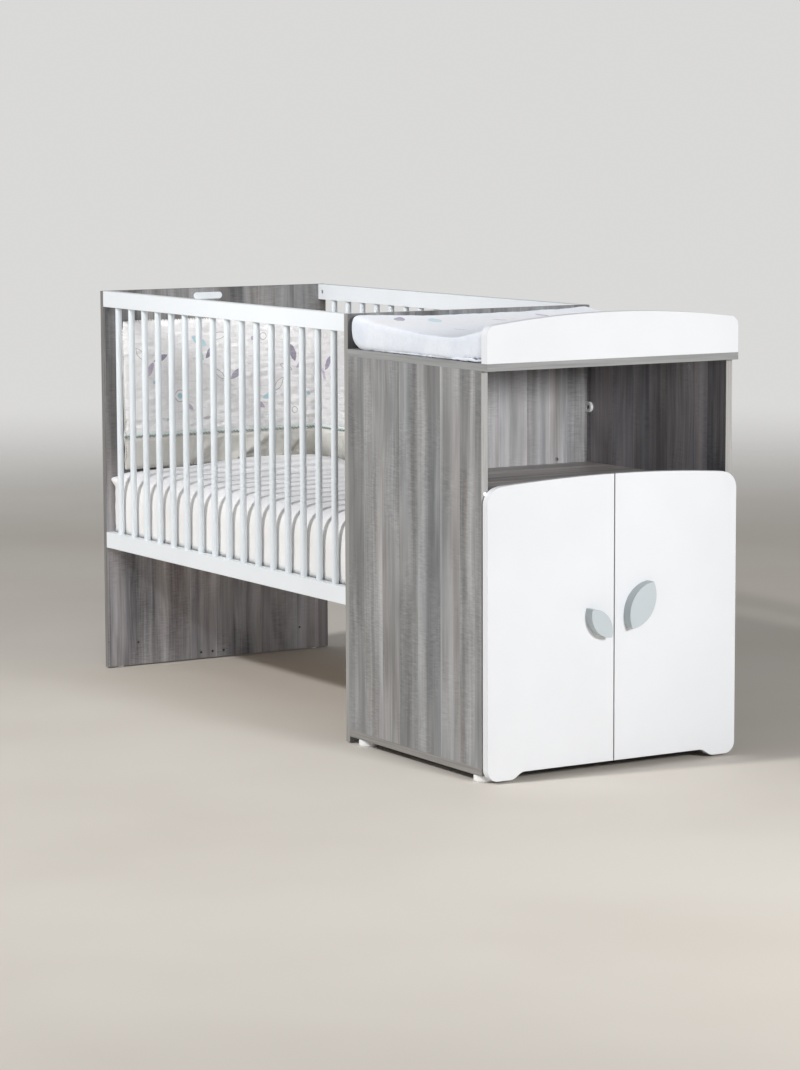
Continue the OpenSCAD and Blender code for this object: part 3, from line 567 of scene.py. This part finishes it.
def inflate(o, pressure, cap, frames=20, stiff=15.0, bend=0.6, shrink=-0.02, pins=None):
    """Swells a closed mesh as cloth under pressure and keeps the result in the mesh, no point moving further than cap (mm)."""
    before = coords(o.data)
    md = o.modifiers.new("swell", "CLOTH")
    s = md.settings
    s.quality, s.mass = 5, 0.25
    s.tension_stiffness = s.compression_stiffness = stiff
    s.shear_stiffness, s.bending_stiffness = stiff * 0.5, bend
    s.use_pressure, s.uniform_pressure_force = True, pressure
    s.shrink_min = shrink
    s.effector_weights.gravity = 0
    if pins is not None:
        g = o.vertex_groups.new(name="pin")
        for i in np.nonzero(pins)[0]:
            g.add([int(i)], 1.0, "REPLACE")
        s.vertex_group_mass = "pin"
    md.point_cache.frame_start, md.point_cache.frame_end = 1, frames
    for f in range(1, frames + 1):
        scene.frame_set(f)
    ev = o.evaluated_get(bpy.context.evaluated_depsgraph_get())
    after = coords(ev.to_mesh())
    ev.to_mesh_clear()
    o.modifiers.remove(md)
    if pins is not None:
        o.vertex_groups.clear()
    d = after - before
    ln = np.linalg.norm(d, axis=1, keepdims=True)
    set_coords(o.data, before + d * np.minimum(1.0, cap / 1000 / np.maximum(ln, 1e-9)))
    scene.frame_set(1)


def subdivide(o, levels=1):
    md = o.modifiers.new("sub", "SUBSURF")
    md.levels = md.render_levels = levels
    ev = o.evaluated_get(bpy.context.evaluated_depsgraph_get())
    me = bpy.data.meshes.new_from_object(ev)
    o.modifiers.remove(md)
    old = o.data
    o.data = me
    me.name = old.name
    bpy.data.meshes.remove(old)


def move(o, fn):
    """fn takes points in millimetres and their normals, and returns the shift in millimetres."""
    me = o.data
    c = coords(me)
    n = np.empty(len(me.vertices) * 3)
    me.vertices.foreach_get("normal", n)
    mm = c * 1000 + np.array([910.5, 328.0, 0])
    set_coords(me, c + fn(mm, n.reshape(-1, 3)) / 1000)


def fbm(p, scale, seed=0.0, octaves=3):
    """Smooth noise from -1 to 1 at points in mm; scale is the size of a feature in mm, one per axis."""
    q = p / np.array(scale)
    return np.array([noise.fractal(Vector((a, b, c + seed)), 1.0, 2.0, octaves) for a, b, c in q])


def step01(v, a, b):
    """0 at a, 1 at b, smooth between."""
    t = np.clip((v - a) / (b - a), 0, 1)
    return t * t * (3 - 2 * t)


def mattress():
    """A thick slab in a fitted sheet: crowned top, soft long edges, squarish ends and gathered corners with a pinched ear."""
    def radii(v):
        t = step01(v[:, 2], 400, 470)
        near = v[:, 1] < 328
        end = np.exp(-(np.minimum(v[:, 0] - 2, 1217 - v[:, 0]) / 45) ** 2)
        return np.stack([4 + 7 * t, 4 + np.where(near, 42, 7) * t * (1 - 0.75 * end), 4 + np.where(near, 34, 7) * t * (1 - 0.7 * end)], 1)

    v, f = box_grid((2.0, 21.6, 362.2), (1216.5, 630.5, 505), 12.5, radii)
    o = make_piece("mattress_cover", v, f, M["mattress"])
    c = coords(o.data) * 1000 + np.array([910.5, 328.0, 0])
    corner = (np.minimum(c[:, 0] - 2, 1217 - c[:, 0]) < 22) & (np.minimum(c[:, 1] - 21, 632 - c[:, 1]) < 22)
    inflate(o, 2.0, 5.0, 16, pins=(c[:, 2] < 377) | corner)
    subdivide(o)

    def shape(p, n):
        d = np.zeros_like(p)
        up = step01(n[:, 2], 0.15, 0.9)
        cy = (p[:, 1] - 328) / 305
        ex = np.minimum(p[:, 0] - 4, 1216 - p[:, 0])
        d[:, 2] += up * (11.5 * np.clip(1 - np.abs(cy) ** 2.2, 0, 1) * (0.72 + 0.28 * step01(ex, 0, 160)) - 3.5 * (1 - step01(ex, 0, 70)) * np.abs(cy) ** 3)
        # slack of the sheet on top, drawn lightly across the width
        d[:, 2] += up * (1.1 * fbm(p, (46, 210, 200), 1.0) + 0.5 * fbm(p, (19, 80, 100), 7.0, 2))
        # swollen in front of the pads
        swell = step01(p[:, 0], 36, 60) * (1 - step01(p[:, 0], 170, 430)) * step01(p[:, 1], 170, 430) * (1 - step01(p[:, 1], 590, 606))
        d[:, 2] += up * 17.0 * swell
        side = 1 - np.abs(n[:, 2])
        d += n * (side * (0.8 * fbm(p, (34, 60, 160), 5.0) + 0.4 * fbm(p, (13, 40, 90), 8.0, 2)))[:, None]
        # gathered corners of the fitted sheet
        for xc, yc in ((2, 21), (1217, 21), (2, 633), (1217, 633)):
            q = np.hypot(p[:, 0] - xc, p[:, 1] - yc)
            k = np.exp(-(q / 58.0) ** 2) * step01(p[:, 2], 366, 430)
            fold = np.sin((p[:, 0] - p[:, 1]) / 3.1 + 0.03 * p[:, 2]) * 1.5 + 1.0 * np.sin(p[:, 2] / 6.0 + q / 9.0)
            d += n * (k * fold)[:, None]
            # a pinched ear of cloth at the top of the corner
            ear = np.exp(-(q / 14.0) ** 2) * np.exp(-((p[:, 2] - 487) / 11.0) ** 2)
            d[:, 0] += ear * (-5.0 if xc < 600 else 4.0)
            d[:, 1] += ear * (-15.0 if yc < 300 else 5.0)
            d[:, 2] += ear * 5.0
        # drawn tight against the bars
        tight = step01(-n[:, 1], 0.5, 0.9) * step01(p[:, 2], 366, 380) * (1 - step01(p[:, 2], 440, 480))
        d[:, 1] += tight * 0.75 * (21.4 - p[:, 1] - d[:, 1])
        return d

    move(o, shape)

    def keep(p, n):
        # the sheet's foot rests on the bottom rails
        q = np.array(p)
        # a soft stop at the bars, apart from the ears beside the end panels
        free = (np.minimum(p[:, 0], 1218 - p[:, 0]) < 22) & (np.abs(p[:, 2] - 490) < 30)
        near = np.where(free, 8.0, 20.4)
        q[:, 1] = near + 0.8 * np.logaddexp(0, (p[:, 1] - near) / 0.8)
        lo, hi = np.array([0.8, 0.0, 361.3]), np.array([1217.8, 632.8, 534.0])
        q = np.clip(q, lo, hi)
        # pressed down where the pads stand on it
        under = np.maximum(1 - step01(p[:, 0], 33, 50), step01(p[:, 1], 590, 605)) * step01(p[:, 1], 40, 60)
        q[:, 2] = np.minimum(q[:, 2], 508.6 + 25.4 * (1 - under))
        foot = (p[:, 2] < 368) & (p[:, 1] < 27)
        q[foot, 1], q[foot, 2] = 21.2, 357.1 + 0.4 * np.sin(p[foot, 0] / 23.0)
        foot = (p[:, 2] < 368) & (p[:, 1] > 626)
        q[foot, 1], q[foot, 2] = 634.6, 357.1 + 0.4 * np.sin(p[foot, 0] / 19.0)
        return q - p

    move(o, keep)
    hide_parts("mattress")
    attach(o, ROOT)
    return o


def tube(name, pts, r, mat, sides=8, closed=False):
    """Round tube along points in metres."""
    pts = [Vector(p) for p in pts]
    verts, faces, n = [], [], len(pts)
    ref = Vector((0.31, 0.52, 0.79))
    for i, p in enumerate(pts):
        a = pts[(i - 1) % n] if closed or i else p
        b = pts[(i + 1) % n] if closed or i < n - 1 else p
        t = (b - a).normalized()
        s = t.cross(ref).normalized()
        w = t.cross(s)
        verts += [p + (s * math.cos(k * math.tau / sides) + w * math.sin(k * math.tau / sides)) * (r(i) if callable(r) else r) for k in range(sides)]
    for i in range(n if closed else n - 1):
        for k in range(sides):
            a, b = i * sides + k, i * sides + (k + 1) % sides
            c, d = ((i + 1) % n) * sides + (k + 1) % sides, ((i + 1) % n) * sides + k
            faces.append((a, b, c, d))
    if not closed:
        faces += [tuple(range(sides))[::-1], tuple(range((n - 1) * sides, n * sides))]
    me = bpy.data.meshes.new(name)
    me.from_pydata(verts, [], faces)
    me.materials.append(mat)
    me.polygons.foreach_set("use_smooth", [True] * len(me.polygons))
    me.update()
    o = bpy.data.objects.new(name, me)
    scene.collection.objects.link(o)
    return o


def bumper(name, node, u0, u1, plane, face, z0, z1, gauze_m, band_m, lay, seed, folds, thin=0):
    """A thin pad that stands along a wall. lay(u, w, z) puts (along, through, up) mm in the crib."""
    SEAM = 600.0
    au = 1 if lay(1, 0, 0)[1] == 1 else 0
    w = 1 - au
    v, f = box_grid((u0 + 8.5, plane + 5, z0 + 0.5), (u1 - 2, plane + 19, z1 + 0.5), 7.5, lambda v: np.broadcast_to(np.array([4.0, 5.5, 4.0]), v.shape))
    o = make_piece(name, [lay(*q) for q in v], f if lay(0, 1, 0)[1] == 1 else [q[::-1] for q in f], gauze_m)
    me = o.data
    c = coords(me) * 1000 + np.array([910.5, 328.0, 0])
    # the sewn line holds the two faces together
    eu = np.minimum(c[:, au] - u0, u1 - c[:, au])
    inflate(o, 1.6, 4.0, 18, stiff=10.0, bend=0.35, shrink=-0.03, pins=(np.abs(c[:, 2] - SEAM) < 5) | ((eu < 16) & (c[:, 2] > z1 - 14)))
    subdivide(o)
    cm = plane + 12.5

    def shape(p, n):
        d = np.zeros_like(p)
        h = (p[:, 2] - z0) / (z1 - z0)
        u = p[:, au]
        line = lambda s, q: fbm(np.stack([u, u * 0, u * 0], 1), (s, 1, 1), q)
        # the top edge waves a little; the lower edge lifts here and there
        d[:, 2] += step01(h, 0.35, 1.0) * (1.6 * line(140, seed) + 1.0 * line(37, seed + 2))
        d[:, 2] += (1 - step01(h, 0.0, 0.12)) * np.clip(3.0 + 5.0 * line(120, seed + 6), 0.0, 8.0) * (1.0 if face > 0 else 0.3)
        # long slanted folds of slack cloth
        big = fbm(np.stack([u + 0.55 * p[:, 2], p[:, 2] - 0.5 * u, u * 0], 1), (62, 250, 1), seed + 3, 2)
        d[:, w] += 2.3 * big
        # crinkles of the gauze, mostly level
        above = step01(p[:, 2], SEAM, SEAM + 25)
        crinkle = fbm(np.stack([u + 0.15 * p[:, 2], p[:, 2] - 0.12 * u, u * 0], 1), (48, 11, 1), seed + 9, 3)
        crumple = fbm(np.stack([u + 0.4 * p[:, 2], p[:, 2] - 0.2 * u, u * 0], 1), (21, 15, 1), seed + 13, 2)
        d[:, w] += face * above * (3.0 * crinkle + 1.3 * crumple)
        # soft folds of the band, drawn towards its lower edge, steep on one side
        below = step01(p[:, 2], SEAM - 4, SEAM - 36)
        d[:, w] -= face * 2.4 * below
        for uc, lean, wide, tall in folds:
            t = (u - uc - lean * (SEAM - p[:, 2])) / wide
            d[:, w] += face * below * tall * (np.exp(-np.where(t > 0, 2.1 * t, 0.9 * t) ** 2) - 0.8 * np.exp(-((t - 1.0) / 0.45) ** 2))
            if tall > 6:
                d[:, 2] += (1 - step01(h, 0.0, 0.10)) * 15.0 * np.exp(-((t - 1.2) / 0.8) ** 2)
        # thinner towards its open end
        if thin:
            d[:, w] -= (p[:, w] - plane - 2.0) * 0.62 * np.clip(1 - (u - u0) / thin, 0, 1) ** 1.4
        # thin at its sewn line
        d[:, w] += -(p[:, w] - cm) * 0.66 * np.exp(-((p[:, 2] - SEAM) / 6.0) ** 2)
        eu = np.minimum(u - u0, u1 - u)
        d[:, au] += 1.2 * fbm(np.stack([p[:, 2], u * 0, u * 0], 1), (26, 1, 1), seed + 5) * (1 - np.clip(eu / 40, 0, 1))
        return d

    move(o, shape)

    def keep(p, n):
        lo, hi = np.array(p), np.array(p)
        lo[:, w], hi[:, w] = plane + 0.6, plane + 25.4 + (7.0 * (1 - step01(p[:, au], 575, 598)) if face > 0 else 0)
        lo[:, au], hi[:, au] = u0 + 0.5, u1 - 0.5
        lo[:, 2], hi[:, 2] = z0 - 1.0, z1 + 5
        return np.clip(p, lo, hi) - p

    move(o, keep)
    me = o.data
    me.materials.append(band_m)
    c = coords(me) * 1000 + np.array([910.5, 328.0, 0])
    for poly in me.polygons:
        z = np.mean([c[i][2] for i in poly.vertices])
        poly.material_index = 1 if z < SEAM - 1 else 0
    tree = BVHTree.FromObject(o, bpy.context.evaluated_depsgraph_get())
    out = -1.0 if face < 0 else 1.0
    # ribbon with a zigzag edge on both faces along the seam, held by a zigzag thread
    for s in (-1, 1):
        verts, faces, sewn = [], [], []
        step = 2.3
        n = int((u1 - u0 - 14) / step)
        for i in range(n + 1):
            u = u0 + 7 + i * step
            zig = 2.5 * (0, 1, 0, -1)[i % 4]
            for dz in (zig, 4.0, 8.5 + 0.3 * zig):
                a = lay(u, cm + s * 40, SEAM + dz)
                b = lay(u, cm, SEAM + dz)
                pa, pb = P(*a), P(*b)
                hit = tree.ray_cast(pa, (pb - pa).normalized(), 0.06)[0]
                base = hit if hit else pb
                verts.append(base + (pa - pb).normalized() * (0.0014 if dz == 4.0 else 0.0010))
            sewn.append(verts[-3] + (pa - pb).normalized() * 0.0012)
        for i in range(n):
            for k in range(2):
                q = (i * 3 + k, (i + 1) * 3 + k, (i + 1) * 3 + k + 1, i * 3 + k + 1)
                faces.append(q if s * (1 if au == 1 else -1) > 0 else q[::-1])
        tm = bpy.data.meshes.new(name + "_trim")
        tm.from_pydata(verts, [], faces)
        tm.materials.append(M["mint"])
        t = bpy.data.objects.new(f"{name}_trim_{'a' if s < 0 else 'b'}", tm)
        scene.collection.objects.link(t)
        sd = t.modifiers.new("thick", "SOLIDIFY")
        sd.thickness, sd.offset = 0.0012, 1.0
        tm.polygons.foreach_set("use_smooth", [True] * len(tm.polygons))
        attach(t, ROOT)
        th = tube(f"{name}_thread_{'a' if s < 0 else 'b'}", sewn, 0.0009, M["thread"], 5)
        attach(th, ROOT)
    # piping round the outline
    pts = []
    path = []
    k = 9.0
    zt, zb = z1 + 4, z0 + 4
    path += [(u, zt) for u in np.arange(u0 + 14, u1 - 14, k)]
    path += [(u1 + 2, z) for z in np.arange(zt - 14, zb + 8, -k)]
    path += [(u, zb - 6) for u in np.arange(u1 - 14, u0 + 14, -k)]
    path += [(u0 - 2, z) for z in np.arange(zb + 8, zt - 14, k)]
    for i, (u, z) in enumerate(path):
        cu, cz = min(max(u, u0 + 40), u1 - 40), min(max(z, z0 + 40), z1 - 40)
        a, b = P(*lay(u + (u - cu) * 0.5, cm, z + (z - cz) * 0.5)), P(*lay(cu, cm, cz))
        best = None
        for dw in (-6, -3, 0, 3, 6):
            a2, b2 = P(*lay(u + (u - cu) * 0.5, cm + dw, z + (z - cz) * 0.5)), P(*lay(cu, cm + dw, cz))
            hit = tree.ray_cast(a2, (b2 - a2).normalized(), 0.2)[0]
            if hit and (best is None or (hit - b).length > (best - b).length):
                best = hit
        if best is not None:
            pts.append(best)
    sm = [(pts[i - 1] + pts[i] * 2 + pts[(i + 1) % len(pts)]) / 4 for i in range(len(pts))]
    pp = tube(name + "_piping", sm, lambda i: 0.0026 + 0.0003 * math.sin(i * 1.3), M["piping"], 8, True)
    lo = pp.data.vertices
    for q in lo:
        q.co.z = max(q.co.z, (z0 - 1.0) / 1000)
    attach(pp, ROOT)
    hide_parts(node)
    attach(o, ROOT)
    return o


def changing_mat():
    """A padded mat with high sides, dipped in the middle, in a fitted terry cover gathered underneath."""
    x0, x1, y0, y1, zb = 1239.0, 1786.5, 5.0, 651.0, 898.7

    def radii(v):
        left, top = np.exp(-((v[:, 0] - x0) / 75) ** 2), step01(v[:, 2], 22, 38)
        end = np.exp(-(np.minimum(v[:, 1] - y0, y1 - v[:, 1]) / 110) ** 2)
        rise = np.exp(-(np.minimum(v[:, 0] - x0, (x1 - v[:, 0]) * 1.6) / 90) ** 2)
        right = np.exp(-(np.minimum(v[:, 1] - y0, y1 - v[:, 1]) / 40) ** 2) * np.exp(-((x1 - v[:, 0]) / 45) ** 2)
        low = np.stack([12 + 10 * right, 7 + 12 * left + 20 * right, 5 + 0 * top], 1)
        high = np.stack([11 + 11 * right, 13 + 8 * rise + 9 * right, 8.5 + 5.5 * rise + 2 * right], 1)
        return low + (high - low) * top[:, None]

    v, f = box_grid((x0, y0, 0), (x1, y1, 60), 8.5, radii)
    # the lower edge on the left turns up in a wide curve towards the ends
    ey = np.minimum(v[:, 1] - y0, y1 - v[:, 1])
    qa, qb = np.clip((x0 + 48 - v[:, 0]) / 48, 0, 1), np.clip((28 - v[:, 2]) / 28, 0, 1)
    k = (np.maximum(qa, qb) / np.maximum(np.hypot(qa, qb), 1e-6) - 1) * np.where((qa > 0) & (qb > 0), 1, 0) * (0.25 + 0.75 * np.exp(-(ey / 110) ** 2))
    v[:, 0] -= qa * k * 48
    v[:, 2] -= qb * k * 28
    a, b = np.clip((1600 - v[:, 0]) / 355, 0, 1), np.clip((v[:, 0] - 1600) / 189, 0, 1)
    v[:, 2] = zb + v[:, 2] / 60 * (943.0 + (23.0 + 11.5 * np.exp(-ey / 110)) * a ** 1.9 + (29.0 + 6.0 * np.exp(-ey / 110)) * b ** 2.3 - zb)
    o = make_piece("changing_mat_cover", v, f, M["terry"])
    inflate(o, 0.8, 2.5, 14, stiff=22.0, bend=2.0, shrink=-0.005)
    subdivide(o)

    def shape(p, n):
        d = np.zeros_like(p)
        up = step01(n[:, 2], 0.1, 0.8)
        d[:, 2] += up * (1.5 * fbm(p, (95, 70, 100), 2.0) + 0.7 * fbm(p, (28, 24, 40), 6.0))
        side = 1 - step01(np.abs(n[:, 2]), 0.3, 0.9)
        d += n * (side * (1.3 * fbm(p, (60, 60, 42), 4.0) + 0.5 * fbm(p, (17, 17, 26), 9.0)))[:, None]
        # cloth drawn in at the foot, bunched where the cover meets the rail
        run = p[:, 0] + p[:, 1]
        foot = 1 - step01(p[:, 2], 901, 916)
        more = 0.35 + 2.2 * step01(p[:, 0], 1650, 1760)
        d[:, 2] += (1 - step01(p[:, 2], 899.5, 910)) * (1 - step01(p[:, 1], 25, 60)) * step01(p[:, 0], 1690, 1765) * (4.0 + 2.0 * np.sin(run / 3.3))
        d -= n * (side * foot * more * 0.6)[:, None]
        g = np.sin(run / 2.9 + 2.0 * fbm(np.stack([run, run * 0, run * 0], 1), (26, 1, 1), 8.0)) * 0.9 + 0.8 * fbm(np.stack([run, p[:, 2] * 2, run * 0], 1), (11, 10, 1), 3.0)
        d += n * (side * foot * more * g * 1.4)[:, None]
        return d

    move(o, shape)

    def keep(p, n):
        lo, hi = np.array([1236.8, 0.6, 898.35]), np.array([1790.4, 655.4, 983.0])
        return np.clip(p, lo, hi) - p

    move(o, keep)
    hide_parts("changing_mat")
    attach(o, MAT)
    # the elastic hem: tucked under, and rolled outwards near the rail
    pts = []
    loop = [(x, 0) for x in np.arange(x0 + 48, x1 - 10, 5)] + [(y, 1) for y in np.arange(y0 + 12, y1 - 12, 5)]
    loop += [(x, 2) for x in np.arange(x1 - 10, x0 + 48, -5)] + [(y, 3) for y in np.arange(y1 - 40, y0 + 40, -5)]
    for i, (q, k) in enumerate(loop):
        j = noise.noise(Vector((i * 0.37, 0.3, 1.1))) * 1.5
        h = noise.noise(Vector((i * 0.23, 4.3, 2.1)))
        out = float(step01(np.array(q if k in (0, 2) else (x1 if k == 1 else x0)), 1640, 1740))
        dy = 5.5 - 6.5 * out + j
        x, y = (q, y0 + dy) if k == 0 else (x1 - 1.5 + 0.3 * j, q) if k == 1 else (q, y1 - dy) if k == 2 else (x0 + 9 + j, q)
        pts.append(P(x, y, 900.9 + (2.2 + 1.6 * h) * out))
    h = tube("changing_mat_hem", pts, lambda i: 0.0022 + 0.0012 * noise.noise(Vector((i * 0.7, 1.7, 0.4))) + 0.0012 * (loop[i][1] == 0 and loop[i][0] > 1700), M["terry"], 8, True)
    for q in h.data.vertices:
        q.co.z = max(q.co.z, 0.8984)
        q.co.x = min(max(q.co.x, P(1236.6, 0, 0).x), P(1790.6, 0, 0).x)
        q.co.y = min(max(q.co.y, P(0, 0.4, 0).y), P(0, 655.6, 0).y)
    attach(h, MAT)
    return o


mattress()
bumper("bumper_head_cover", "bumper_head", 42, 632, 2, 1, 511, 899, M["gauze_head"], M["band"], lambda u, w, z: (w, u, z), 1.0,
       ((488, -1.63, 26, 12.0), (583, -1.04, 20, 10.0), (330, -1.3, 24, 6.0), (150, 0.2, 30, 2.5), (250, -0.4, 24, 3.5), (430, 0.1, 22, 2.5)), 64)
bumper("bumper_side_cover", "bumper_side", 30, 1216, 606, -1, 511, 891, M["gauze_side"], M["band_side"], lambda u, w, z: (u, w, z), 4.0,
       ((180, 0.4, 22, 3.5), (420, -0.6, 16, 4.0), (640, 0.3, 26, 3.0), (860, 0.7, 15, 4.0), (1050, -0.2, 28, 3.0)))
changing_mat()


# ---------------------------------------------------------------- stage and light
def floor():
    m = Mat("stage_floor", 0.75)
    cloud = m.noise(m.co.outputs["Object"], 0.8, 3.0, 0.5)
    col = m.mix(m.span(cloud, 0.3, 0.7), lin("#cbc4ba"), lin("#d3cdc4"))
    m.done(col)
    far = m.span(length(m, m.co.outputs["Object"]), 3.0, 9.0)
    tr = m.node("ShaderNodeBsdfTransparent")
    mx = m.node("ShaderNodeMixShader")
    m.link(far, mx.inputs[0])
    m.link(m.b.outputs[0], mx.inputs[1])
    m.link(tr.outputs[0], mx.inputs[2])
    m.link(mx.outputs[0], m.out.inputs[0])
    n = 24
    me = bpy.data.meshes.new("stage_floor")
    me.from_pydata([(0, 0, 0)] + [(10 * math.cos(k * math.tau / n), 10 * math.sin(k * math.tau / n), 0) for k in range(n)], [], [(0, 1 + k, 1 + (k + 1) % n) for k in range(n)])
    me.materials.append(m.m)
    o = bpy.data.objects.new("stage_floor", me)
    scene.collection.objects.link(o)


def area(name, az, el, dist, size, power, color=(1, 1, 1), at=(0, 0, 0.5), spread=180):
    a, e = math.radians(az), math.radians(el)
    d = Vector((math.sin(a) * math.cos(e), -math.cos(a) * math.cos(e), math.sin(e)))
    l = bpy.data.lights.new(name, "AREA")
    l.shape, l.size, l.energy, l.color, l.spread = "DISK", size, power, color, math.radians(spread)
    o = bpy.data.objects.new(name, l)
    o.location = Vector(at) + d * dist
    o.rotation_euler = d.to_track_quat("Z", "Y").to_euler()
    o.visible_camera = False
    scene.collection.objects.link(o)


floor()
area("key_crib", 2, 37, 6.5, 0.45, 258, (0.985, 0.99, 1.0), (0, 0, 0.6))
area("soft_front", 91.5, 12.8, 3.9, 0.6, 39.3, (0.985, 0.99, 1.0), (0.6, 0, 0.6), 120)
area("soft_head", 60, 28, 2.4, 0.6, 0.8, (0.985, 0.99, 1.0), (-0.9, 0.0, 0.68), 44)
area("soft_low", 35, 1.5, 2.6, 0.3, 0.05, (0.985, 0.99, 1.0), (-0.9, -0.2, 0.13), 16)


def studio():
    """Soft even light from all round, and a plain pale wall tone behind the object."""
    w = bpy.data.worlds.new("studio")
    w.use_nodes = True
    t = w.node_tree
    t.nodes.clear()
    out, mx, path = t.nodes.new("ShaderNodeOutputWorld"), t.nodes.new("ShaderNodeMixShader"), t.nodes.new("ShaderNodeLightPath")
    fill, wall = t.nodes.new("ShaderNodeBackground"), t.nodes.new("ShaderNodeBackground")
    fill.inputs[0].default_value = (0.985, 0.99, 1.0, 1)
    # the room is darker behind the crib
    co, sep, rng = t.nodes.new("ShaderNodeTexCoord"), t.nodes.new("ShaderNodeSeparateXYZ"), t.nodes.new("ShaderNodeMapRange")
    for k, v in zip(("From Min", "From Max", "To Min", "To Max"), (-0.45, 0.75, 0.46, 0.22)):
        rng.inputs[k].default_value = v
    t.links.new(co.outputs["Generated"], sep.inputs[0])
    t.links.new(sep.outputs[1], rng.inputs["Value"])
    t.links.new(rng.outputs[0], fill.inputs[1])
    wall.inputs[0].default_value, wall.inputs[1].default_value = (1.0, 0.995, 0.985, 1), 0.70
    t.links.new(path.outputs["Is Camera Ray"], mx.inputs[0])
    t.links.new(fill.outputs[0], mx.inputs[1])
    t.links.new(wall.outputs[0], mx.inputs[2])
    t.links.new(mx.outputs[0], out.inputs[0])
    scene.world = w


studio()
